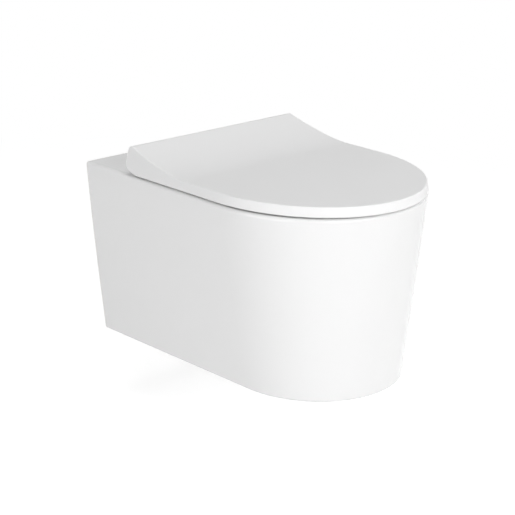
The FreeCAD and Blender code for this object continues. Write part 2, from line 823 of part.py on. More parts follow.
def make_hinge(side, sign):
    """Rubber, round plate, stud, post, pin and release button of one hinge."""
    x = "%d * %s" % (sign, HINGE_X)
    gasket_disc = rod("gasket_disc_" + side, "base_radius", "gasket_gauge", x, "-hole_y", "rim_z")
    gasket_hole = rod(
        "gasket_hole_" + side, "counterbore", "gasket_gauge + 2 * trim", x, "-hole_y", "rim_z - trim"
    )
    gasket = cut("hinge_gasket_" + side, gasket_disc, [gasket_hole])

    base_z = "rim_z + gasket_gauge"
    base_disc = rod("base_disc_" + side, "base_radius", "base_gauge", x, "-hole_y", base_z)
    base_hole = rod(
        "base_hole_" + side,
        "stud_shank + loose_fit",
        "base_gauge + 2 * trim",
        x,
        "-hole_y",
        base_z + " - trim",
    )
    base = cut("hinge_plate_" + side, base_disc, [base_hole])

    groove_low = "stud_flange_gauge + stud_groove_rise - stud_groove_gap / 2"
    groove_high = "stud_flange_gauge + stud_groove_rise + stud_groove_gap / 2"
    stud = turned_part(
        "hinge_stud_" + side,
        [
            ("stud_shank", "-base_gauge - stud_reach", "0"),
            ("stud_flange", "0", "stud_flange_gauge"),
            ("stud_neck", "stud_flange_gauge", groove_low),
            ("stud_groove", groove_low, groove_high),
            ("stud_neck", groove_high, "stud_flange_gauge + stud_height"),
        ],
        x,
        PLATE_TOP,
    )

    half = "post_width / 2"
    post_box = box(
        "post_box_" + side,
        ("%s - %s" % (x, half), "%s + %s" % (x, half)),
        ("-hinge_y - post_front", "-hinge_y + post_heel"),
        (PLATE_TOP, AXIS_Z),
    )
    post_head = rod(
        "post_head_" + side,
        "post_round",
        "post_width",
        "%s - %s" % (x, half),
        "-hinge_y",
        AXIS_Z,
        ALONG_X,
    )
    post_bore = rod(
        "post_bore_" + side,
        "pin_radius + seated_fit",
        "post_width + 2 * trim",
        "%s - %s - trim" % (x, half),
        "-hinge_y",
        AXIS_Z,
        ALONG_X,
    )
    flange_seat = rod(
        "flange_seat_" + side,
        "stud_flange + loose_fit",
        "stud_flange_gauge + loose_fit + trim",
        x,
        "-hole_y",
        PLATE_TOP + " - trim",
    )
    socket = rod(
        "post_socket_" + side,
        "stud_neck + seated_fit",
        "stud_flange_gauge + stud_height + loose_fit",
        x,
        "-hole_y",
        PLATE_TOP,
    )
    button_z = PLATE_TOP + " + stud_flange_gauge + stud_groove_rise"
    front = "-hinge_y - post_front"
    button_seat = rod(
        "button_seat_" + side,
        "button_radius + loose_fit",
        "button_body + button_travel + loose_fit + trim",
        x,
        front + " - trim",
        button_z,
        ALONG_Y,
    )
    post = cut(
        "hinge_post_" + side,
        fuse("post_body_" + side, [post_box, post_head]),
        [post_bore, flange_seat, socket, button_seat],
    )

    button = rod(
        "release_button_" + side,
        "button_radius",
        "button_proud + button_body",
        x,
        front + " - button_proud",
        button_z,
        ALONG_Y,
    )
    bore_length = "barrel_length - barrel_end - pin_short"
    pin_length = "post_width + 2 * barrel_gap + 2 * (%s)" % bore_length
    pin = rod(
        "hinge_pin_" + side,
        "pin_radius",
        pin_length,
        "%s - (%s) / 2" % (x, pin_length),
        "-hinge_y",
        AXIS_Z,
        ALONG_X,
    )
    return [gasket, base, stud, post, button, pin]


def barrel_span(sign, inner):
    """Rules for one barrel's low x, on the inner or outer side of its post."""
    x = "%d * %s" % (sign, HINGE_X)
    outward = sign if not inner else -sign
    if outward > 0:
        return "%s + post_width / 2 + barrel_gap" % x, 1
    return "%s - post_width / 2 - barrel_gap - barrel_length" % x, -1


def make_barrel(name, sign, inner):
    """A hinge barrel and the bore for its bush, open towards the post."""
    low, direction = barrel_span(sign, inner)
    barrel = rod(name, "barrel_radius", "barrel_length", low, "-hinge_y", AXIS_Z, ALONG_X)
    bore_low = low + " - trim" if direction > 0 else low + " + barrel_end"
    bore = rod(
        name + "_bore",
        "bush_radius + seated_fit",
        "barrel_length - barrel_end + trim",
        bore_low,
        "-hinge_y",
        AXIS_Z,
        ALONG_X,
    )
    return barrel, bore


def make_bush(name, sign, inner):
    """What turns on the pin inside a barrel: a plain bush or a damper."""
    low, direction = barrel_span(sign, inner)
    start = low if direction > 0 else low + " + barrel_end"
    outer = rod(
        name + "_outer",
        "bush_radius",
        "barrel_length - barrel_end",
        start,
        "-hinge_y",
        AXIS_Z,
        ALONG_X,
    )
    bore_start = start + " - trim" if direction > 0 else start + " + pin_short - loose_fit"
    hole = rod(
        name + "_hole",
        "pin_radius + running_fit",
        "barrel_length - barrel_end - pin_short + loose_fit + trim",
        bore_start,
        "-hinge_y",
        AXIS_Z,
        ALONG_X,
    )
    return cut(name, outer, [hole])


# ---------------------------------------------------------------- seat ring


def d_wire(half, length, nose, rear, z):
    """A level D: a straight rear, straight sides and a half-oval front."""
    middle = -(length - nose)
    corners = [
        Vector(half, middle, z),
        Vector(half, -rear, z),
        Vector(-half, -rear, z),
        Vector(-half, middle, z),
    ]
    sides = Part.makePolygon(corners)
    return Part.Wire([half_oval(half, nose, middle, z, HALF_TURN)] + sides.Edges)


def make_seat_ring():
    """The ring, with an arm and a barrel on the inner side of each post."""
    rim = size("rim_z")
    bottom = rim + size("seat_gap")
    top = bottom + size("ring_gauge")
    lean = size("lid_lean") * (top - rim) / size("crest_rise")
    inset = size("lid_wall") + size("ring_clearance") + lean
    outline = d_wire(
        size("lid_half") - inset,
        size("lid_length") - inset,
        size("lid_nose") - inset,
        size("ring_rear"),
        bottom,
    )
    plate = Part.Face(outline).extrude(Vector(0, 0, size("ring_gauge")))
    hole_front = size("lid_length") - size("ring_front_band")
    reach = (hole_front - size("ring_hole_rear")) / 2
    middle = -(hole_front + size("ring_hole_rear")) / 2
    past = size("trim")
    hole = Part.Face(oval(size("ring_hole_half"), reach, middle, bottom - past)).extrude(
        Vector(0, 0, size("ring_gauge") + 2 * past)
    )
    ring = plate.cut(hole)
    upper = [edge for edge in ring.Edges if lies_at(edge, "z", top)]
    ring = ring.makeFillet(size("ring_round"), upper)

    pieces = [solid("ring_plate", ring)]
    bores = []
    for side, sign in SIDES:
        barrel, bore = make_barrel("ring_barrel_" + side, sign, True)
        pieces += [barrel, solid("ring_arm_" + side, arm_shape(sign, bottom, top))]
        bores.append(bore)
    return cut("seat_ring", fuse("ring_body", pieces), bores)


def arm_shape(sign, bottom, top):
    """The arm from the ring's rear edge up to its barrel."""
    axis_y = -size("hinge_y")
    axis_z = size("rim_z") + size("axis_rise")
    rear = -size("ring_rear")
    root = rear - size("arm_root")
    arm_top = top - size("arm_step")
    lean = math.radians(size("arm_lean"))
    forward = size("barrel_radius") * math.sin(lean)
    rise = size("barrel_radius") * math.cos(lean)
    points = [
        Vector(0, root, bottom),
        Vector(0, rear, bottom),
        Vector(0, axis_y - forward, axis_z - rise),
        Vector(0, axis_y, axis_z),
        Vector(0, axis_y - forward, axis_z + rise),
        Vector(0, rear, arm_top),
        Vector(0, root, arm_top),
    ]
    inner_end = size("hinge_spacing") / 2 - size("post_width") / 2 - size("barrel_gap")
    low = inner_end - size("barrel_length") if sign > 0 else -inner_end
    face = Part.Face(Part.makePolygon(points + points[:1]))
    web = face.extrude(Vector(size("barrel_length"), 0, 0))
    web.translate(Vector(low, 0, 0))
    return web.cut(bush_room(low))


def bush_room(low):
    """The room that a web leaves for the bush in its barrel."""
    past = size("trim")
    return Part.makeCylinder(
        size("bush_radius") + size("seated_fit"),
        size("barrel_length") + 2 * past,
        Vector(low - past, -size("hinge_y"), size("rim_z") + size("axis_rise")),
        Vector(1, 0, 0),
    )


# ---------------------------------------------------------------- lid


def ramp_rise(y):
    """Rise of the lid's top over the rim, at a distance y from the wall."""
    share = (size("ramp_foot") - y) / (size("ramp_foot") - size("crest_y"))
    climb = size("crest_rise") - size("lid_rise")
    return size("lid_rise") + climb * max(0.0, share) ** size("ramp_power")


def lid_plan(inset, low, high):
    """The lid's footprint, leaning in as it rises, between two rises."""
    span = size("crest_rise") - size("lid_lift")
    wires = []
    for rise in (low, high):
        lean = size("lid_lean") * (rise - size("lid_lift")) / span + inset
        wires.append(
            d_wire(
                size("lid_half") - lean,
                size("lid_length") - lean,
                size("lid_nose") - lean,
                size("lid_rear") + inset,
                size("rim_z") + rise,
            )
        )
    return Part.makeLoft(wires, True, True)


def lid_outside():
    """The lid's outer form. The round runs on from the rear corners along the hem."""
    rim, past = size("rim_z"), size("trim")
    lift = size("lid_lift")
    plan = lid_plan(0, lift - past, size("crest_rise") + past)
    block = plan.common(lid_profile(0, lift, 0, True))
    tail_top = rim + lift + size("tail_height")
    flat_top = rim + size("lid_rise")

    def turns_a_corner(edge):
        """True where top or rear meets the side, not where one face runs on."""
        bounds = edge.BoundBox
        wide = bounds.XMax - bounds.XMin
        along = max(bounds.YMax - bounds.YMin, bounds.ZMax - bounds.ZMin)
        return wide < along

    upper = [
        edge
        for edge in block.Edges
        if edge.BoundBox.ZMin > flat_top - past / 2
        and (turns_a_corner(edge) or edge.BoundBox.YMin < -size("lid_length") + size("lid_lean"))
    ]
    corners = [
        edge
        for edge in block.Edges
        if lies_at(edge, "y", -size("lid_rear"))
        and turns_a_corner(edge)
        and abs(edge.BoundBox.ZMin - tail_top) < past / 2
    ]
    return block.makeFillet(size("lid_round"), upper + corners)


def lid_profile(drop, bottom, rear_inset, with_tail):
    """The lid seen from the side, from its lower edge to the crest, across X."""
    rim = size("rim_z")
    foot, crest = size("ramp_foot"), size("crest_y")
    front = -size("lid_length") - size("trim")
    rear = -size("lid_rear") - rear_inset
    ramp_points = []
    for step in range(RAMP_STEPS + 1):
        y = foot + (crest - foot) * step / RAMP_STEPS
        ramp_points.append(Vector(0, -y, rim + ramp_rise(y) - drop))
    ramp = Part.BSplineCurve()
    ramp.interpolate(ramp_points)
    crest_point = ramp_points[-1]
    edges = [
        Part.LineSegment(Vector(0, front, rim + bottom), Vector(0, front, ramp_points[0].z)),
        Part.LineSegment(Vector(0, front, ramp_points[0].z), ramp_points[0]),
        ramp,
    ]
    if with_tail:
        slope = size("ramp_power") * (size("crest_rise") - size("lid_rise")) / (foot - crest)
        climb = math.atan(slope)
        radius = (rear - crest_point.y) / (1 + math.sin(climb))
        centre = crest_point + Vector(0, radius * math.sin(climb), -radius * math.cos(climb))
        half_way = (math.radians(90) + climb) / 2
        over = centre + Vector(0, radius * math.cos(half_way), radius * math.sin(half_way))
        down = centre + Vector(0, radius, 0)
        tail_top = Vector(0, rear, rim + bottom + size("tail_height"))
        tail_foot = Vector(0, rear - size("tail_reach"), rim + bottom)
        tail_corner = Vector(0, rear, rim + bottom)
        tail = Part.BezierCurve()
        tail.setPoles(
            [
                tail_top,
                tail_top + (tail_corner - tail_top) * QUARTER_PULL,
                tail_foot + (tail_corner - tail_foot) * QUARTER_PULL,
                tail_foot,
            ]
        )
        edges += [
            Part.Arc(crest_point, over, down),
            Part.LineSegment(down, tail_top),
            tail,
            Part.LineSegment(tail_foot, Vector(0, front, rim + bottom)),
        ]
    else:
        corner = Vector(0, rear, crest_point.z)
        foot_corner = Vector(0, rear, rim + bottom)
        edges += [
            Part.LineSegment(crest_point, corner),
            Part.LineSegment(corner, foot_corner),
            Part.LineSegment(foot_corner, Vector(0, front, rim + bottom)),
        ]
    wire = Part.Wire([edge.toShape() for edge in edges])
    reach = size("lid_half") + size("trim")
    bar = Part.Face(wire).extrude(Vector(2 * reach, 0, 0))
    bar.translate(Vector(-reach, 0, 0))
    return bar


def make_lid():
    """The wrap-over lid, with a barrel on the outer side of each post."""
    rim = size("rim_z")
    lift, wall, past = size("lid_lift"), size("lid_wall"), size("trim")
    high = size("crest_rise") + past
    inner = lid_plan(wall, lift - 2 * past, high).common(
        lid_profile(wall, lift - past, wall, False)
    )
    shell = lid_outside().cut(inner)
    beside_post = size("post_width") / 2 + size("barrel_gap")
    outer = size("hinge_spacing") / 2 + beside_post
    barrel_end = size("barrel_length") + size("swing_clearance")
    inner_end = size("hinge_spacing") / 2 - beside_post - barrel_end
    band_end = -size("crest_y") + size("crest_band")
    for low in (-outer, inner_end):
        notch = Part.makeBox(
            outer - inner_end,
            -size("lid_rear") + past - band_end,
            high,
            Vector(low, band_end, rim),
        )
        shell = shell.cut(notch)

    pieces = [solid("lid_shell", shell)]
    bores = []
    for side, sign in SIDES:
        barrel, bore = make_barrel("lid_barrel_" + side, sign, False)
        pieces += [barrel, solid("lid_web_" + side, web_shape(sign))]
        bores.append(bore)
    return cut("lid", fuse("lid_body", pieces), bores)


def web_shape(sign):
    """The web between a lid barrel and the inside of the ramp."""
    start = size("hinge_spacing") / 2 + size("post_width") / 2 + size("barrel_gap")
    low = start if sign > 0 else -start - size("barrel_length")
    axis_y = -size("hinge_y")
    blank = Part.makeBox(
        size("barrel_length"),
        size("web_front") + size("web_back"),
        size("crest_rise"),
        Vector(low, axis_y - size("web_front"), size("rim_z") + size("axis_rise")),
    )
    into_wall = size("lid_wall") / 2
    inside = lid_profile(into_wall, 0, into_wall, False)
    return blank.common(inside).cut(bush_room(low))


# ---------------------------------------------------------------- buffers


def pad(name, x, y, z, height, turn):
    """A soft oblong buffer with round ends, turned about the vertical."""
    body = doc.addObject("Part::Box", name + "_middle")
    bind(body, Length="buffer_length - buffer_width", Width="buffer_width", Height=height)
    straight = "(buffer_length - buffer_width) / 2"
    place(body, "-" + straight, "-buffer_width / 2")
    ends = [
        rod("%s_end_%d" % (name, number), "buffer_width / 2", height, x="%d * %s" % (way, straight))
        for number, way in enumerate((-1, 1))
    ]
    whole = fuse(name, [body] + ends)
    return place(whole, x, y, z, Rotation(Vector(0, 0, 1), turn))


def make_buffers():
    """Four buffers under the ring and two under the lid."""
    angle = size("buffer_angle")
    round_off = "(pan_half - front_buffer_inset)"
    front_y = "-turn_y - %s * cos(buffer_angle)" % round_off
    lid_buffer = ("rim_z + seat_gap + ring_gauge", "lid_rise - lid_wall - seat_gap - ring_gauge")
    made = []
    for side, sign in SIDES:
        front_x = "%d * %s * sin(buffer_angle)" % (sign, round_off)
        rear_x = "%d * (pan_half - rear_buffer_inset)" % sign
        made += [
            pad("seat_buffer_front_" + side, front_x, front_y, "rim_z", "seat_gap", sign * angle),
            pad("seat_buffer_rear_" + side, rear_x, "-rear_buffer_y", "rim_z", "seat_gap", 90),
            pad("lid_buffer_" + side, front_x, front_y, *lid_buffer, sign * angle),
        ]
    return made


# ---------------------------------------------------------------- all of it


def check_document():
    """Stop on any object that failed, or whose shape is not sound."""
    for thing in doc.Objects:
        if {"Invalid", "Error"} & set(thing.State):
            raise RuntimeError("failed: " + thing.Name)


def write_pieces(pieces):
    os.makedirs("parts", exist_ok=True)
    for piece in pieces:
        shape = piece.Shape
        if shape.isNull() or not shape.isValid() or not shape.Solids:
            raise RuntimeError("bad shape: " + piece.Label)
        shape.exportStep("parts/%s.step" % piece.Label)


def main():
    pieces = make_skin() + make_waterways()
    for side, sign in SIDES:
        pieces.append(make_anchor(side, sign))
        pieces += make_hinge(side, sign)
    pieces += make_stud_hardware()
    pieces += make_clamp_hardware()
    pieces.append(make_seat_ring())
    pieces.append(make_lid())
    pieces.append(make_bush("seat_damper", 1, True))
    pieces.append(make_bush("seat_bush", -1, True))
    pieces.append(make_bush("lid_damper", -1, False))
    pieces.append(make_bush("lid_bush", 1, False))
    pieces += make_buffers()
    doc.recompute()
    check_document()
    write_pieces(pieces)
    for piece in pieces:
        litres = piece.Shape.Volume / 1e6
        print("%-24s %d solids, %.3f litres" % (piece.Label, len(piece.Shape.Solids), litres))


main()
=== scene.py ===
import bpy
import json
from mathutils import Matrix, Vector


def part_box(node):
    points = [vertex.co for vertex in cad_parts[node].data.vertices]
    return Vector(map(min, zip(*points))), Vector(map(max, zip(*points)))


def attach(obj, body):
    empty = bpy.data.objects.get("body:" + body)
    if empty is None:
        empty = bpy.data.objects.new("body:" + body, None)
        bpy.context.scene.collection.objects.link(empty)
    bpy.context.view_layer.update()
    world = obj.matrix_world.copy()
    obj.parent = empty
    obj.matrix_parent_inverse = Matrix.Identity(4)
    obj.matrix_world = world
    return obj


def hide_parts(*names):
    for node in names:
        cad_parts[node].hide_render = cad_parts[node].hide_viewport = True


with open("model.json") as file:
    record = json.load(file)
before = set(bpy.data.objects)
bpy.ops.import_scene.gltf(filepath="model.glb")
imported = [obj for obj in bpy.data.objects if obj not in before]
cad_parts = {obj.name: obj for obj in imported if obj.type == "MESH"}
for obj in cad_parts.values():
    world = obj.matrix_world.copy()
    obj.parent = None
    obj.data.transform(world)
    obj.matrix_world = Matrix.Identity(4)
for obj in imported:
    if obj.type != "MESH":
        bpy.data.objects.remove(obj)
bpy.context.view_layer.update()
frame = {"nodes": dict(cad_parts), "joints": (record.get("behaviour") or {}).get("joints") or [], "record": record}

import json
import math

import bmesh
import bpy
from bpy.props import FloatProperty, FloatVectorProperty, PointerProperty
from mathutils import Matrix, Vector

bl_info = {
    "name": "Wall hung toilet",
    "version": (1, 0, 0),
    "blender": (4, 5, 0),
    "location": "View3D > Sidebar > Toilet",
    "description": "Finishes a wall hung toilet, details its hardware and sets up a studio",
    "category": "Object",
}

MM = 0.001
SIDES = ("left", "right")

# The hinge axis, and which body and material slot each CAD node belongs to
HINGE_AXIS = Vector(frame["joints"][0]["pos_m"])
BODY_OF = {
    node: body for body, nodes in frame["record"]["behaviour"]["bodies"].items() for node in nodes
}
SLOT_OF = {part["node"]: part["material_slot"] for part in frame["record"]["subparts"]}

# Points around a turned piece; a multiple of 6, so that a nut's corners are among them
TURNS = 72
# Edges that turn by more than this stay crisp; a bevel rounds those past its own angle
CRISP = math.radians(32)
BEVEL_FROM = math.radians(40)
BEVEL_STEPS = 3
# Pieces of an arc on the plate's shoulder, the post's head and corner, and a buffer
SHOULDER_STEPS = 5
HEAD_STEPS = 24
CORNER_STEPS = 6
PAD_STEPS = 4
# Points of the nut's thread on each turn
THREAD_STEPS = 6
# Points closer than this are one point; a copied CAD mesh needs more
WELD = 0.001 * MM
COPY_WELD = 0.01 * MM
# Faces of a copied CAD mesh that turn by less than this are one face
FLAT = math.radians(1)

# Sizes that the CAD pieces give: radii, and depths along their own axis
PLATE_HOLE = 4.3 * MM
GASKET_HOLE = 13 * MM
STUD_HOLE = 6.5 * MM
POST_HEEL = 2 * MM
BUTTON_PLAY = 0.3 * MM
BUTTON_RECESS = 6.8 * MM
BUFFER_HALF = 6 * MM
BUFFER_STRAIGHT = 14 * MM
FRONT_BUFFER_TURN = math.radians(35)
REAR_BUFFER_TURN = math.radians(90)
NUT_CHAMFER = math.radians(30)
# The button's dome: its share of the radius, its depth in crowns and how far it turns
DOME_REACH = 0.86
DOME_DEPTH = 1.12
DOME_TURN = range(60, -1, -12)
# The point between flank and dome: its share of the radius, and its depth in crowns
ROLL_REACH = 0.97
ROLL_DEPTH = 0.72
# How far the button recess's cutter starts in front of the post
CUTTER_START = 1 * MM
# Buffers end this short of what they rest on, so that two faces never share a plane
BUFFER_SHY = 0.02 * MM


# ------------------------------------------------------------------ settings


def linear(hex_text):
    """An sRGB hex colour as linear RGBA."""
    values = [int(hex_text[start : start + 2], 16) / 255 for start in (0, 2, 4)]
    return [v / 12.92 if v <= 0.04045 else ((v + 0.055) / 1.055) ** 2.4 for v in values] + [1.0]


def colour(name, description, hex_text):
    """A colour that a user can change."""
    return FloatVectorProperty(
        name=name,
        description=description,
        subtype="COLOR",
        size=4,
        min=0,
        max=1,
        default=linear(hex_text),
    )


def length(name, description, millimetres):
    """A size that a user can change."""
    return FloatProperty(
        name=name,
        description=description,
        default=millimetres * MM,
        min=0,
        unit="LENGTH",
        precision=4,
    )


def angle(name, description, degrees):
    """An angle that a user can change."""
    return FloatProperty(
        name=name, description=description, default=math.radians(degrees), subtype="ANGLE"
    )


def power(name, description, watts):
    """A lamp's power that a user can change."""
    return FloatProperty(name=name, description=description, default=watts, min=0, unit="POWER")


def level(name, description, strength):
    """A strength of light that a user can change; 1 is white."""
    return FloatProperty(name=name, description=description, default=strength, min=0)


class ToiletFinishes(bpy.types.PropertyGroup):
    """Colours of the real finishes."""

    china: colour("China", "White glaze of the pan", "F5F5F5")
    biscuit: colour("Biscuit", "Fired china where it has no glaze, at the wall", "EAE6DD")
    plastic: colour("Seat and lid", "Moulded plastic of the ring and the lid", "F4F4F4")
    rubber: colour("Rubber", "Buffers and hinge gaskets", "CFCFCC")
    acetal: colour("Acetal", "Bushes, dampers and clamp washers", "E4E4E0")
    steel: colour("Stainless steel", "Hinges and clamp bolts", "C4C3C0")
    zinc: colour("Zinc plating", "Wall anchors, nuts and washers", "B9BCBE")
    chrome: colour("Chrome", "Release buttons", "D8D9DA")


class ToiletDetails(bpy.types.PropertyGroup):
    """Small forms on the hardware."""

    steel_round: length("Post edges", "Rounding of the hinge posts' edges", 0.8)
    post_corner: length("Post corner", "Radius of the hinge post's upper front corner", 5)
    plate_shoulder: length("Plate shoulder", "Rounding of the hinge plate's upper edge", 1.4)
    plate_land: length("Plate land", "Flat ring inside the hinge plate's shoulder", 0.8)
    plate_dish: length("Plate dish", "Depth of the hinge plate's turned dish", 0.15)
    plate_step: length("Plate step", "Width of the slope into the dish", 0.4)
    plate_boss: length("Plate boss", "Flat ring around the hinge plate's hole", 3.8)
    plate_break: length("Plate break", "Broken edges of the hinge plate", 0.4)
    gasket_edge: length("Gasket edge", "How far the gasket's edges stand back", 0.5)
    gasket_bulge: length("Gasket bulge", "How far the gasket's side has come in halfway", 0.12)
    button_crown: length("Button crown", "Height of the release button's rounded front", 1.1)
    button_break: length("Button break", "Broken rear edge of the release button", 0.3)
    casting_round: length("Anchor edges", "Rounding of the wall anchors' edges", 0.9)
    washer_break: length("Washer break", "Broken edges of the washers", 0.35)
    thread_pitch: length("Thread pitch", "Rise of one turn of the nuts' thread", 1.75)
    thread_depth: length("Thread depth", "Depth of the nuts' thread", 0.9)
    rubber_round: length("Buffer edges", "Rounding of a buffer's free edge", 0.9)


class ToiletStudio(bpy.types.PropertyGroup):
    """Camera, lamps and floor."""

    azimuth: angle("Azimuth", "Turn of the camera about the object", -45.4)
    elevation: angle("Elevation", "Rise of the camera", 18.9)
    roll: angle("Roll", "Tilt of the camera", 1.77)
    distance: length("Distance", "Camera to the aim point's plane", 2476.3)
    lens: FloatProperty(
        name="Lens", description="Focal length", default=108.8, min=1, unit="CAMERA"
    )
    ambient: level("Ambient", "Strength of the world's light on the object", 0.1)
    floor_glow: level("Floor glow", "What lifts the floor to white for the camera", 0.62)
    front_power: power("Front lamp", "Power of the wide lamp in front", 48)
    left_power: power("Left lamp", "Power of the lamp at the left", 32)
    right_power: power("Right lamp", "Power of the lamp at the right", 10)
    back_power: power("Back lamp", "Power of the low lamp behind", 26)
    top_power: power("Top lamp", "Power of the lamp overhead", 32)
    mount_height: length("Mount height", "Wall studs above the floor", 320)


def settings(group):
    """The values of one property group."""
    return getattr(bpy.context.scene, "toilet_" + group)


# ------------------------------------------------------------------ finishes


def add_node(tree, kind, inputs=(), **values):
    """Add a node with its settings and links.

    inputs are by name or in order; each is a constant, a socket, or a node whose
    first output is linked.
    """
    node = tree.nodes.new(kind)
    for name, value in values.items():
        setattr(node, name, value)
    for name, value in inputs.items() if isinstance(inputs, dict) else enumerate(inputs):
        if isinstance(value, bpy.types.Node):
            value = value.outputs[0]
        if isinstance(value, bpy.types.NodeSocket):
            tree.links.new(value, node.inputs[name])
        else:
            node.inputs[name].default_value = value
    return node


def new_material(name):
    """An empty material, its tree and the object's own coordinates."""
    material = bpy.data.materials.new(name)
    material.use_nodes = True
    tree = material.node_tree
    tree.nodes.clear()
    place = add_node(tree, "ShaderNodeTexCoord").outputs["Object"]
    return material, tree, place


def dimmed(rgba, share):
    """A colour with its light scaled by a share."""
    return [value * share for value in rgba[:3]] + [1.0]


def glazed_vitreous_china():
    """Fired white glaze: wet gloss with slow waves, bare biscuit on the wall face."""
    material, tree, place = new_material("glazed_vitreous_china")
    white = list(settings("finishes").china)
    biscuit = list(settings("finishes").biscuit)
    # where the glaze lies thicker it is a shade darker, over about 120 mm
    thick = add_node(
        tree, "ShaderNodeTexNoise", {"Vector": place, "Scale": 1 / (120 * MM), "Detail": 3.0}
    )
    glaze = add_node(
        tree, "ShaderNodeMixRGB", {"Fac": thick, "Color1": white, "Color2": dimmed(white, 0.98)}
    )
    # the glaze is wiped off where the pan meets the wall: bare within 0.5 mm of that plane
    depth = add_node(tree, "ShaderNodeSeparateXYZ", {0: place}).outputs["Y"]
    bare = add_node(tree, "ShaderNodeMapRange", (depth, -0.9 * MM, -0.5 * MM, 0.0, 1.0))
    sand = add_node(
        tree, "ShaderNodeTexNoise", {"Vector": place, "Scale": 1 / (1.5 * MM), "Detail": 3.0}
    )
    clay = add_node(
        tree, "ShaderNodeMixRGB", {"Fac": sand, "Color1": dimmed(biscuit, 0.94), "Color2": biscuit}
    )
    skin = add_node(tree, "ShaderNodeMixRGB", {"Fac": bare, "Color1": glaze, "Color2": clay})
    # waves 35 mm long and 0.02 mm high only show in what the glaze mirrors
    wave = add_node(
        tree, "ShaderNodeTexNoise", {"Vector": place, "Scale": 1 / (35 * MM), "Detail": 2.0}
    )
    waves = add_node(
        tree, "ShaderNodeBump", {"Height": wave, "Strength": 0.05, "Distance": 0.4 * MM}
    )
    # an orange peel of 4 mm breaks the reflections of straight edges
    pore = add_node(
        tree, "ShaderNodeTexNoise", {"Vector": place, "Scale": 1 / (4 * MM), "Detail": 1.0}
    )
    peel = add_node(
        tree,
        "ShaderNodeBump",
        {"Height": pore, "Strength": 0.02, "Distance": 0.1 * MM, "Normal": waves},
    )
    # glaze mirrors sharply, biscuit is matt
    gloss = add_node(tree, "ShaderNodeMapRange", (bare, 0.0, 1.0, 0.12, 0.85))
    shader = add_node(
        tree,
        "ShaderNodeBsdfPrincipled",
        {"Base Color": skin, "Roughness": gloss, "IOR": 1.52, "Normal": peel},
    )
    add_node(tree, "ShaderNodeOutputMaterial", {"Surface": shader})
    return material


def moulded_duroplast():
    """Compression-moulded urea plastic: hard satin white with a fine moulded skin."""
    material, tree, place = new_material("moulded_duroplast")
    # the mould's satin varies a little over 60 mm, as a hand's wipe would show
    wipe = add_node(
        tree, "ShaderNodeTexNoise", {"Vector": place, "Scale": 1 / (60 * MM), "Detail": 2.0}
    )
    satin = add_node(tree, "ShaderNodeMapRange", (wipe, 0.3, 0.7, 0.48, 0.56))
    # a skin of 1.2 mm lumps keeps highlights soft and slightly grainy
    lumps = add_node(
        tree, "ShaderNodeTexNoise", {"Vector": place, "Scale": 1 / (1.2 * MM), "Detail": 1.0}
    )
    skin = add_node(
        tree, "ShaderNodeBump", {"Height": lumps, "Strength": 0.03, "Distance": 0.1 * MM}
    )
    # the plastic sinks and swells over 90 mm as it cures
    cure = add_node(
        tree, "ShaderNodeTexNoise", {"Vector": place, "Scale": 1 / (90 * MM), "Detail": 1.0}
    )
    sink = add_node(
        tree,
        "ShaderNodeBump",
        {"Height": cure, "Strength": 0.04, "Distance": 0.5 * MM, "Normal": skin},
    )
    plastic = list(settings("finishes").plastic)
    shader = add_node(
        tree,
        "ShaderNodeBsdfPrincipled",
        {"Base Color": plastic, "Roughness": satin, "IOR": 1.5, "Normal": sink},
    )
    add_node(tree, "ShaderNodeOutputMaterial", {"Surface": shader})
    return material


def satin_stainless_steel():
    """Posts, pins and studs: fine lines of a polishing belt, drawn along X."""
    material, tree, place = new_material("satin_stainless_steel")
    # the belt's scratches are 0.3 mm apart and about 12 mm long
    drawn = add_node(tree, "ShaderNodeMapping", {"Vector": place, "Scale": (1 / 40, 1, 1)})
    lines = add_node(
        tree, "ShaderNodeTexNoise", {"Vector": drawn, "Scale": 1 / (0.3 * MM), "Detail": 2.0}
    )
    satin = add_node(tree, "ShaderNodeMapRange", (lines, 0.3, 0.7, 0.24, 0.38))
    grooves = add_node(
        tree, "ShaderNodeBump", {"Height": lines, "Strength": 0.12, "Distance": 0.02 * MM}
    )
    steel = list(settings("finishes").steel)
    shader = add_node(
        tree,
        "ShaderNodeBsdfPrincipled",
        {"Base Color": steel, "Metallic": 1.0, "Roughness": satin, "Normal": grooves},
    )
    add_node(tree, "ShaderNodeOutputMaterial", {"Surface": shader})
    return material


def turned_stainless_steel():
    """Hinge plates: the fine rings that a lathe's tool leaves about the middle."""
    material, tree, place = new_material("turned_stainless_steel")
    # a tool's real feed is 0.2 mm; the rings are drawn 3.8 mm apart so that they show
    rings = add_node(
        tree,
        "ShaderNodeTexWave",
        {"Vector": place, "Scale": math.tau / 20 / (3.77 * MM), "Distortion": 0.6, "Detail": 2.0},
        wave_type="RINGS",
        rings_direction="Z",
    ).outputs["Fac"]
    sheen = add_node(tree, "ShaderNodeMapRange", (rings, 0.0, 1.0, 0.2, 0.32))
    grooves = add_node(
        tree, "ShaderNodeBump", {"Height": rings, "Strength": 0.15, "Distance": 0.02 * MM}
    )
    steel = list(settings("finishes").steel)
    shader = add_node(
        tree,
        "ShaderNodeBsdfPrincipled",
        {"Base Color": steel, "Metallic": 1.0, "Roughness": sheen, "Normal": grooves},
    )
    add_node(tree, "ShaderNodeOutputMaterial", {"Surface": shader})
    return material


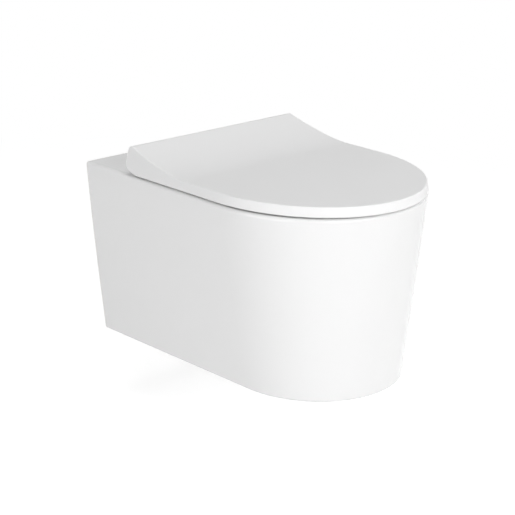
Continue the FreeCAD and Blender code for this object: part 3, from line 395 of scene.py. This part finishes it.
def bright_zinc_plating():
    """Wall anchors, nuts and washers: bluish zinc whose grain clouds the gloss."""
    material, tree, place = new_material("bright_zinc_plating")
    zinc = list(settings("finishes").zinc)
    # the passivation drifts between blue and straw over 25 mm
    straw = [zinc[0] * 1.03, zinc[1], zinc[2] * 0.93, 1.0]
    drift = add_node(
        tree, "ShaderNodeTexNoise", {"Vector": place, "Scale": 1 / (25 * MM), "Detail": 2.0}
    )
    share = add_node(tree, "ShaderNodeMapRange", (drift, 0.3, 0.7, 0.0, 1.0))
    film = add_node(tree, "ShaderNodeMixRGB", {"Fac": share, "Color1": zinc, "Color2": straw})
    # the plating's crystals are drawn 3 mm wide
    grain = add_node(
        tree, "ShaderNodeTexNoise", {"Vector": place, "Scale": 1 / (3 * MM), "Detail": 4.0}
    )
    cloud = add_node(tree, "ShaderNodeMapRange", (grain, 0.3, 0.7, 0.3, 0.48))
    crystals = add_node(
        tree, "ShaderNodeBump", {"Height": grain, "Strength": 0.1, "Distance": 0.1 * MM}
    )
    shader = add_node(
        tree,
        "ShaderNodeBsdfPrincipled",
        {"Base Color": film, "Metallic": 1.0, "Roughness": cloud, "Normal": crystals},
    )
    add_node(tree, "ShaderNodeOutputMaterial", {"Surface": shader})
    return material


def polished_chrome():
    """Release buttons: mirror bright, with the haze of fingers."""
    material, tree, place = new_material("polished_chrome")
    smear = add_node(
        tree, "ShaderNodeTexNoise", {"Vector": place, "Scale": 1 / (3 * MM), "Detail": 2.0}
    )
    haze = add_node(tree, "ShaderNodeMapRange", (smear, 0.3, 0.7, 0.05, 0.12))
    chrome = list(settings("finishes").chrome)
    shader = add_node(
        tree,
        "ShaderNodeBsdfPrincipled",
        {"Base Color": chrome, "Metallic": 1.0, "Roughness": haze},
    )
    add_node(tree, "ShaderNodeOutputMaterial", {"Surface": shader})
    return material


def moulded_rubber():
    """Buffers and gaskets: matt pale rubber with talc in its pores."""
    material, tree, place = new_material("moulded_rubber")
    pale = list(settings("finishes").rubber)
    # pores of 0.8 mm; the talc in them is paler
    pores = add_node(
        tree, "ShaderNodeTexNoise", {"Vector": place, "Scale": 1 / (0.8 * MM), "Detail": 3.0}
    )
    talc = add_node(
        tree, "ShaderNodeMixRGB", {"Fac": pores, "Color1": dimmed(pale, 0.92), "Color2": pale}
    )
    matt = add_node(tree, "ShaderNodeMapRange", (pores, 0.3, 0.7, 0.7, 0.85))
    pitted = add_node(
        tree, "ShaderNodeBump", {"Height": pores, "Strength": 0.15, "Distance": 0.08 * MM}
    )
    shader = add_node(
        tree,
        "ShaderNodeBsdfPrincipled",
        {"Base Color": talc, "Roughness": matt, "IOR": 1.52, "Normal": pitted},
    )
    add_node(tree, "ShaderNodeOutputMaterial", {"Surface": shader})
    return material


def moulded_acetal():
    """Bushes, dampers and washers: waxy off-white with a faint flow of the melt."""
    material, tree, place = new_material("moulded_acetal")
    waxy = list(settings("finishes").acetal)
    # the melt's flow shows in streaks of 6 mm
    flow = add_node(
        tree, "ShaderNodeTexNoise", {"Vector": place, "Scale": 1 / (6 * MM), "Detail": 2.0}
    )
    streaks = add_node(
        tree, "ShaderNodeMixRGB", {"Fac": flow, "Color1": dimmed(waxy, 0.96), "Color2": waxy}
    )
    sheen = add_node(tree, "ShaderNodeMapRange", (flow, 0.3, 0.7, 0.38, 0.5))
    ripple = add_node(
        tree, "ShaderNodeBump", {"Height": flow, "Strength": 0.05, "Distance": 0.1 * MM}
    )
    shader = add_node(
        tree,
        "ShaderNodeBsdfPrincipled",
        {"Base Color": streaks, "Roughness": sheen, "IOR": 1.48, "Normal": ripple},
    )
    add_node(tree, "ShaderNodeOutputMaterial", {"Surface": shader})
    return material


def paint(slot, material):
    """Give the CAD nodes of one material slot their finish."""
    for name, its_slot in SLOT_OF.items():
        if its_slot == slot:
            node = frame["nodes"][name]
            node.data.materials.clear()
            node.data.materials.append(material)


# ------------------------------------------------------------------ mesh pieces


def around(build, profile_at, place, straight=0.0):
    """Sweep a closed profile about the Z axis of place.

    profile_at(turn) gives the loop of (radius, height) points; straight pulls
    the two halves apart along X, into an oblong.
    """
    columns = []
    for step in range(TURNS):
        turn = math.tau * step / TURNS
        shift = math.copysign(straight / 2, math.cos(turn + math.pi / TURNS))
        columns.append(
            [
                build.verts.new(
                    place
                    @ Vector((radius * math.cos(turn) + shift, radius * math.sin(turn), height))
                )
                for radius, height in profile_at(turn)
            ]
        )
    for column, following in zip(columns, columns[1:] + columns[:1]):
        for index, vertex in enumerate(column):
            after = (index + 1) % len(column)
            build.faces.new((vertex, column[after], following[after], following[index]))


def turned(build, profile, place, straight=0.0):
    """Sweep the same profile all the way round."""
    around(build, lambda turn: profile, place, straight)


def arc(centre, radius, start, end, steps):
    """Points on an arc, both ends included; the angles are in degrees."""
    points = []
    for step in range(steps + 1):
        turn = math.radians(start + (end - start) * step / steps)
        points.append(
            (centre[0] + radius * math.cos(turn), centre[1] + radius * math.sin(turn))
        )
    return points


def closed_mesh(name, build):
    """Weld a bmesh, turn its faces outwards and make it a mesh."""
    bmesh.ops.remove_doubles(build, verts=build.verts, dist=WELD)
    bmesh.ops.recalc_face_normals(build, faces=build.faces)
    mesh = bpy.data.meshes.new(name)
    build.to_mesh(mesh)
    build.free()
    return mesh


def new_piece(name, build, node, origin, material):
    """Make a piece from a bmesh in the row's frame; it stands for a node and rides as it does."""
    mesh = closed_mesh(name, build)
    mesh.transform(Matrix.Translation(-origin))
    mesh.materials.append(material)
    mesh.shade_smooth()
    mesh.set_sharp_from_angle(angle=CRISP)
    piece = bpy.data.objects.new(name, mesh)
    piece.location = origin
    bpy.context.scene.collection.objects.link(piece)
    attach(piece, BODY_OF[node])
    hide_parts(node)
    return piece


def bevel(piece, width):
    """Round a piece's sharp edges and keep its flat faces flat."""
    rounding = piece.modifiers.new("edges", "BEVEL")
    rounding.width = width
    rounding.segments = BEVEL_STEPS
    rounding.limit_method = "ANGLE"
    rounding.angle_limit = BEVEL_FROM
    rounding.use_clamp_overlap = True
    piece.modifiers.new("normals", "WEIGHTED_NORMAL").keep_sharp = True


def carve(piece, build):
    """Cut a bmesh in the row's frame out of a piece."""
    mesh = closed_mesh("cutter", build)
    cutter = bpy.data.objects.new("cutter", mesh)
    bpy.context.scene.collection.objects.link(cutter)
    cut = piece.modifiers.new("carve", "BOOLEAN")
    cut.operation = "DIFFERENCE"
    cut.solver = "EXACT"
    cut.object = cutter
    shape = piece.evaluated_get(bpy.context.evaluated_depsgraph_get())
    carved = bpy.data.meshes.new_from_object(shape)
    piece.modifiers.clear()
    piece.data = carved
    bpy.data.objects.remove(cutter)
    bpy.data.meshes.remove(mesh)


def facing(place, toward):
    """A matrix at place whose Z axis looks toward a direction."""
    return Matrix.Translation(place) @ toward.to_track_quat("Z", "Y").to_matrix().to_4x4()


def foot_of(node):
    """A node's box, its plan middle at the lowest height, its radius and its height."""
    low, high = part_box(node)
    centre = (low + high) / 2
    return Vector((centre.x, centre.y, low.z)), (high.x - low.x) / 2, high.z - low.z


def make_hinge_plate(side, steel):
    """A turned round plate: rounded shoulder, shallow dish, broken edges."""
    node = "hinge_plate_" + side
    foot, radius, tall = foot_of(node)
    details = settings("details")
    rim = details.plate_break
    shoulder = details.plate_shoulder
    dish = tall - details.plate_dish
    land = radius - shoulder - details.plate_land
    boss = PLATE_HOLE + details.plate_boss
    profile = [(PLATE_HOLE, 0), (radius - rim, 0), (radius, rim)]
    profile += arc((radius - shoulder, tall - shoulder), shoulder, 0, 90, SHOULDER_STEPS)
    profile += [(land, tall), (land - details.plate_step, dish)]
    profile += [(boss + details.plate_step, dish), (boss, tall)]
    profile += [(PLATE_HOLE + rim, tall), (PLATE_HOLE, tall - rim)]
    build = bmesh.new()
    turned(build, profile, Matrix.Translation(foot))
    new_piece("turned_plate_" + side, build, node, foot, steel)


def make_hinge_gasket(side, rubber):
    """A rubber ring that bulges a little where the plate presses it."""
    node = "hinge_gasket_" + side
    foot, radius, tall = foot_of(node)
    edge = radius - settings("details").gasket_edge
    flank = radius - settings("details").gasket_bulge
    profile = [(GASKET_HOLE, 0), (edge, 0), (flank, tall * 0.25), (radius, tall * 0.5)]
    profile += [(flank, tall * 0.75), (edge, tall), (GASKET_HOLE, tall)]
    build = bmesh.new()
    turned(build, profile, Matrix.Translation(foot))
    new_piece("rubber_gasket_" + side, build, node, foot, rubber)


def make_button(side, chrome):
    """A push button with a domed face and a rolled edge."""
    node = "release_button_" + side
    low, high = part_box(node)
    radius = (high.x - low.x) / 2
    tall = high.y - low.y
    details = settings("details")
    crown = details.button_crown
    rear = details.button_break
    dome = [
        (
            radius * DOME_REACH * math.sin(math.radians(turn)),
            tall - crown * DOME_DEPTH * (1 - math.cos(math.radians(turn))),
        )
        for turn in DOME_TURN
    ]
    profile = [(0, 0), (radius - rear, 0), (radius, rear), (radius, tall - crown)]
    profile += [(radius * ROLL_REACH, tall - crown * ROLL_DEPTH)] + dome
    origin = Vector(((low.x + high.x) / 2, high.y, (low.z + high.z) / 2))
    build = bmesh.new()
    turned(build, profile, facing(origin, Vector((0, -1, 0))))
    new_piece("domed_button_" + side, build, node, origin, chrome)


def make_hinge_post(side, steel):
    """A milled post: rounded head about the pin, rounded front, recess for the button."""
    node = "hinge_post_" + side
    low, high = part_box(node)
    head = high.z - HINGE_AXIS.z
    corner = settings("details").post_corner
    # the head's arc starts where it meets the rear of the leg, and ends at the front
    start = -math.degrees(math.acos(POST_HEEL / head))
    outline = [(low.y, low.z), (HINGE_AXIS.y + POST_HEEL, low.z)]
    outline += arc((HINGE_AXIS.y, HINGE_AXIS.z), head, start, 180, HEAD_STEPS)
    outline += arc((low.y + corner, HINGE_AXIS.z - corner), corner, 90, 180, CORNER_STEPS)
    build = bmesh.new()
    near = [build.verts.new((low.x, y, z)) for y, z in outline]
    far = [build.verts.new((high.x, y, z)) for y, z in outline]
    build.faces.new(near)
    build.faces.new(list(reversed(far)))
    for index in range(len(outline)):
        after = (index + 1) % len(outline)
        build.faces.new((near[index], far[index], far[after], near[after]))
    middle = (low + high) / 2
    piece = new_piece("milled_post_" + side, build, node, middle, steel)

    button_low, button_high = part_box("release_button_" + side)
    seat = (button_high.x - button_low.x) / 2 + BUTTON_PLAY
    front = Vector((middle.x, low.y - CUTTER_START, (button_low.z + button_high.z) / 2))
    deep = BUTTON_RECESS + CUTTER_START
    recess = bmesh.new()
    turned(recess, [(0, 0), (seat, 0), (seat, deep), (0, deep)], facing(front, Vector((0, 1, 0))))
    carve(piece, recess)
    bevel(piece, settings("details").steel_round)


def make_anchor(side, zinc):
    """The wall anchor with the soft edges of a plated casting."""
    node = "wall_anchor_" + side
    build = bmesh.new()
    build.from_mesh(frame["nodes"][node].data)
    bmesh.ops.remove_doubles(build, verts=build.verts, dist=COPY_WELD)
    bmesh.ops.dissolve_limit(build, angle_limit=FLAT, verts=build.verts, edges=build.edges)
    low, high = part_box(node)
    piece = new_piece("cast_anchor_" + side, build, node, (low + high) / 2, zinc)
    bevel(piece, settings("details").casting_round)


def make_stud_rings(name, node, profile_of, zinc):
    """A ring on each wall stud; profile_of(radius, height) gives its section at a turn."""
    low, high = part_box(node)
    radius = (high.z - low.z) / 2
    washer_low, washer_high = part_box("stud_washers")
    inset = (washer_high.z - washer_low.z) / 2
    build = bmesh.new()
    for x in (washer_low.x + inset, washer_high.x - inset):
        place = facing(Vector((x, high.y, 0)), Vector((0, -1, 0)))
        around(build, profile_of(radius, high.y - low.y), place)
    new_piece(name, build, node, Vector((0, high.y, 0)), zinc)


def washer_profile(radius, tall):
    """A flat ring with all four edges broken."""
    edge = settings("details").washer_break
    loop = [(STUD_HOLE + edge, 0), (radius - edge, 0), (radius, edge), (radius, tall - edge)]
    loop += [(radius - edge, tall), (STUD_HOLE + edge, tall)]
    loop += [(STUD_HOLE, tall - edge), (STUD_HOLE, edge)]
    return lambda turn: loop


def nut_profile(flat, tall):
    """A hexagon with its corners turned off, and a thread inside."""
    pitch = settings("details").thread_pitch
    deep = settings("details").thread_depth
    rows = math.ceil(tall / pitch * THREAD_STEPS)
    sixth = math.tau / 6

    def at(turn):
        reach = flat / math.cos(turn % sixth - sixth / 2)
        drop = (reach - flat) * math.tan(NUT_CHAMFER)
        loop = [(flat, 0), (reach, drop), (reach, tall - drop), (flat, tall)]
        for row in range(rows + 1):
            height = tall * (1 - row / rows)
            crest = 0.5 + 0.5 * math.cos(math.tau * height / pitch + turn)
            loop.append((STUD_HOLE - deep * crest, height))
        return loop

    return at


def make_buffer(node, turn, rubber):
    """An oblong buffer with a rounded free edge."""
    low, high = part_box(node)
    origin = Vector(((low.x + high.x) / 2, (low.y + high.y) / 2, high.z))
    tall = high.z - low.z - BUFFER_SHY
    edge = min(settings("details").rubber_round, tall / 2)
    profile = [(0, 0), (BUFFER_HALF, 0)]
    profile += arc((BUFFER_HALF - edge, tall - edge), edge, 0, 90, PAD_STEPS)
    profile.append((0, tall))
    place = facing(origin, Vector((0, 0, -1))) @ Matrix.Rotation(turn, 4, "Z")
    build = bmesh.new()
    turned(build, profile, place, BUFFER_STRAIGHT)
    new_piece("rubber_" + node, build, node, origin, rubber)


# ------------------------------------------------------------------ operators


class TOILET_OT_china(bpy.types.Operator):
    """Glaze the pan, the bowl, the trap and the flush inlet"""

    bl_idname = "toilet.china"
    bl_label = "China pan"

    def execute(self, context):
        paint("vitreous_china", glazed_vitreous_china())
        return {"FINISHED"}


class TOILET_OT_seat(bpy.types.Operator):
    """Finish the seat ring and the lid"""

    bl_idname = "toilet.seat"
    bl_label = "Seat and lid"

    def execute(self, context):
        paint("moulded_duroplast", moulded_duroplast())
        return {"FINISHED"}


class TOILET_OT_hinges(bpy.types.Operator):
    """Build plates, gaskets, posts and buttons of the hinges, and finish pins and studs"""

    bl_idname = "toilet.hinges"
    bl_label = "Hinges"

    def execute(self, context):
        satin = satin_stainless_steel()
        lathe = turned_stainless_steel()
        chrome = polished_chrome()
        rubber = moulded_rubber()
        paint("stainless_steel", satin)
        paint("acetal", moulded_acetal())
        for side in SIDES:
            make_hinge_plate(side, lathe)
            make_hinge_gasket(side, rubber)
            make_hinge_post(side, satin)
            make_button(side, chrome)
        return {"FINISHED"}


class TOILET_OT_fixings(bpy.types.Operator):
    """Build the wall anchors with their washers and nuts"""

    bl_idname = "toilet.fixings"
    bl_label = "Wall fixings"

    def execute(self, context):
        zinc = bright_zinc_plating()
        for side in SIDES:
            make_anchor(side, zinc)
        make_stud_rings("plated_washers", "stud_washers", washer_profile, zinc)
        make_stud_rings("hexagon_nuts", "stud_nuts", nut_profile, zinc)
        return {"FINISHED"}


class TOILET_OT_buffers(bpy.types.Operator):
    """Build the buffers under the ring and the lid"""

    bl_idname = "toilet.buffers"
    bl_label = "Buffers"

    def execute(self, context):
        rubber = bpy.data.materials["moulded_rubber"]
        for side, sign in zip(SIDES, (1, -1)):
            make_buffer("seat_buffer_front_" + side, sign * FRONT_BUFFER_TURN, rubber)
            make_buffer("seat_buffer_rear_" + side, REAR_BUFFER_TURN, rubber)
            make_buffer("lid_buffer_" + side, sign * FRONT_BUFFER_TURN, rubber)
        return {"FINISHED"}


class TOILET_OT_stage(bpy.types.Operator):
    """Set up floor, world, lamps and camera"""

    bl_idname = "toilet.stage"
    bl_label = "Studio"

    def execute(self, context):
        make_floor()
        make_world()
        make_lamps()
        make_camera()
        context.scene.view_settings.view_transform = "Standard"
        return {"FINISHED"}


# ------------------------------------------------------------------ studio

# What the lamps and the camera look at, and how far it stands right of and above
# the middle of the picture
AIM = Vector((0, -0.2484, -0.0586))
AIM_RIGHT = 0.0288
AIM_UP = -0.0021
FLOOR_REACH = 12.0
# The floor runs out into the white of the background between these distances
FADE_START = 0.7
FADE_END = 1.6
SENSOR_WIDTH = 36
CAMERA_FAR = 50


def seen(tree):
    """1 for rays that look straight, in a mirror or through glass, else 0."""
    path = add_node(tree, "ShaderNodeLightPath").outputs
    direct = add_node(
        tree,
        "ShaderNodeMath",
        {0: path["Is Camera Ray"], 1: path["Is Glossy Ray"]},
        operation="ADD",
    )
    return add_node(
        tree,
        "ShaderNodeMath",
        {0: direct, 1: path["Is Transmission Ray"]},
        operation="ADD",
        use_clamp=True,
    )


def make_floor():
    """A pale floor at its real distance under the pan."""
    reach = FLOOR_REACH
    drop = -settings("studio").mount_height
    corners = [(-reach, -reach, drop), (reach, -reach, drop)]
    corners += [(reach, reach, drop), (-reach, reach, drop)]
    mesh = bpy.data.meshes.new("floor")
    mesh.from_pydata(corners, [], [(0, 1, 2, 3)])
    floor = bpy.data.objects.new("floor", mesh)
    bpy.context.scene.collection.objects.link(floor)
    material, tree, place = new_material("matt_white_floor")
    grit = add_node(
        tree, "ShaderNodeTexNoise", {"Vector": place, "Scale": 1 / (2 * MM), "Detail": 2.0}
    )
    speckle = add_node(
        tree,
        "ShaderNodeMixRGB",
        {"Fac": grit, "Color1": linear("F2F2F2"), "Color2": linear("F4F4F4")},
    )
    matt = add_node(tree, "ShaderNodeBsdfDiffuse", {"Color": speckle})
    white = linear("FFFFFF")
    glow = add_node(
        tree,
        "ShaderNodeEmission",
        {"Color": white, "Strength": settings("studio").floor_glow},
    )
    near = add_node(tree, "ShaderNodeAddShader", {0: matt, 1: glow})
    # away from the object's shadow the floor is as white as the background
    blank = add_node(tree, "ShaderNodeEmission", {"Color": white, "Strength": 1.0})
    away = add_node(tree, "ShaderNodeVectorMath", {0: place}, operation="LENGTH")
    fade = add_node(
        tree,
        "ShaderNodeMapRange",
        (away.outputs["Value"], FADE_START, FADE_END, 0.0, 1.0),
    )
    lifted = add_node(tree, "ShaderNodeMixShader", {0: fade, 1: near, 2: blank})
    surface = add_node(tree, "ShaderNodeMixShader", {0: seen(tree), 1: matt, 2: lifted})
    add_node(tree, "ShaderNodeOutputMaterial", {"Surface": surface})
    mesh.materials.append(material)


def make_world():
    """White to look at; a plain level of light for the object."""
    world = bpy.data.worlds.new("studio")
    world.use_nodes = True
    tree = world.node_tree
    tree.nodes.clear()
    strength = add_node(
        tree,
        "ShaderNodeMapRange",
        (seen(tree), 0.0, 1.0, settings("studio").ambient, 1.0),
    )
    sky = add_node(
        tree, "ShaderNodeBackground", {"Color": linear("FFFFFF"), "Strength": strength}
    )
    add_node(tree, "ShaderNodeOutputWorld", {"Surface": sky})
    bpy.context.scene.world = world


def area_lamp(name, place, size, watts):
    """A soft box that looks at the object."""
    data = bpy.data.lights.new(name, "AREA")
    data.shape = "RECTANGLE"
    data.size, data.size_y = size
    data.energy = watts
    lamp = bpy.data.objects.new(name, data)
    bpy.context.scene.collection.objects.link(lamp)
    lamp.location = place
    lamp.rotation_euler = (AIM - Vector(place)).to_track_quat("-Z", "Y").to_euler()


def make_lamps():
    """A wide soft box in front, one at each side, one overhead and one low at the back."""
    studio = settings("studio")
    area_lamp("front_lamp", (-0.25, -3.0, 1.0), (3.0, 1.2), studio.front_power)
    area_lamp("left_lamp", (-3.0, -0.6, 0.3), (2.6, 1.2), studio.left_power)
    area_lamp("right_lamp", (2.6, -2.2, 0.8), (1.6, 1.2), studio.right_power)
    area_lamp("back_lamp", (0.4, 3.0, -0.2), (0.8, 0.2), studio.back_power)
    area_lamp("top_lamp", (0.2, -0.4, 2.6), (2.6, 2.6), studio.top_power)


def make_camera():
    """A long lens at the photograph's angle."""
    studio = settings("studio")
    az, el, roll = studio.azimuth, studio.elevation, studio.roll
    back = Vector((math.sin(az) * math.cos(el), -math.cos(az) * math.cos(el), math.sin(el)))
    level_right = Vector((math.cos(az), math.sin(az), 0))
    upright = back.cross(level_right)
    right = level_right * math.cos(roll) + upright * math.sin(roll)
    up = upright * math.cos(roll) - level_right * math.sin(roll)
    data = bpy.data.cameras.new("camera")
    data.lens = studio.lens
    data.sensor_width = SENSOR_WIDTH
    data.clip_end = CAMERA_FAR
    camera = bpy.data.objects.new("camera", data)
    bpy.context.scene.collection.objects.link(camera)
    spot = AIM - right * AIM_RIGHT - up * AIM_UP + back * studio.distance
    turn = Matrix((right, up, back)).transposed().to_4x4()
    camera.matrix_world = Matrix.Translation(spot) @ turn
    bpy.context.scene.camera = camera


# ------------------------------------------------------------------ sidebar


class TOILET_PT_panel(bpy.types.Panel):
    """Lists the settings and the buttons of the operators in the sidebar"""

    bl_label = "Wall hung toilet"
    bl_idname = "TOILET_PT_panel"
    bl_space_type = "VIEW_3D"
    bl_region_type = "UI"
    bl_category = "Toilet"

    def draw(self, context):
        for group in GROUPS:
            values = settings(group)
            for name in values.__annotations__:
                self.layout.prop(values, name)
        for operator in OPERATORS:
            self.layout.operator(operator.bl_idname)


GROUPS = {"finishes": ToiletFinishes, "details": ToiletDetails, "studio": ToiletStudio}
OPERATORS = (
    TOILET_OT_china,
    TOILET_OT_seat,
    TOILET_OT_hinges,
    TOILET_OT_fixings,
    TOILET_OT_buffers,
    TOILET_OT_stage,
)
CLASSES = tuple(GROUPS.values()) + OPERATORS + (TOILET_PT_panel,)


def register():
    for item in CLASSES:
        bpy.utils.register_class(item)
    for name, group in GROUPS.items():
        setattr(bpy.types.Scene, "toilet_" + name, PointerProperty(type=group))


def unregister():
    for name in GROUPS:
        delattr(bpy.types.Scene, "toilet_" + name)
    for item in reversed(CLASSES):
        bpy.utils.unregister_class(item)


def main():
    register()
    bpy.ops.toilet.china()
    bpy.ops.toilet.seat()
    bpy.ops.toilet.hinges()
    bpy.ops.toilet.fixings()
    bpy.ops.toilet.buffers()
    bpy.ops.toilet.stage()


if __name__ == "__main__":
    main()
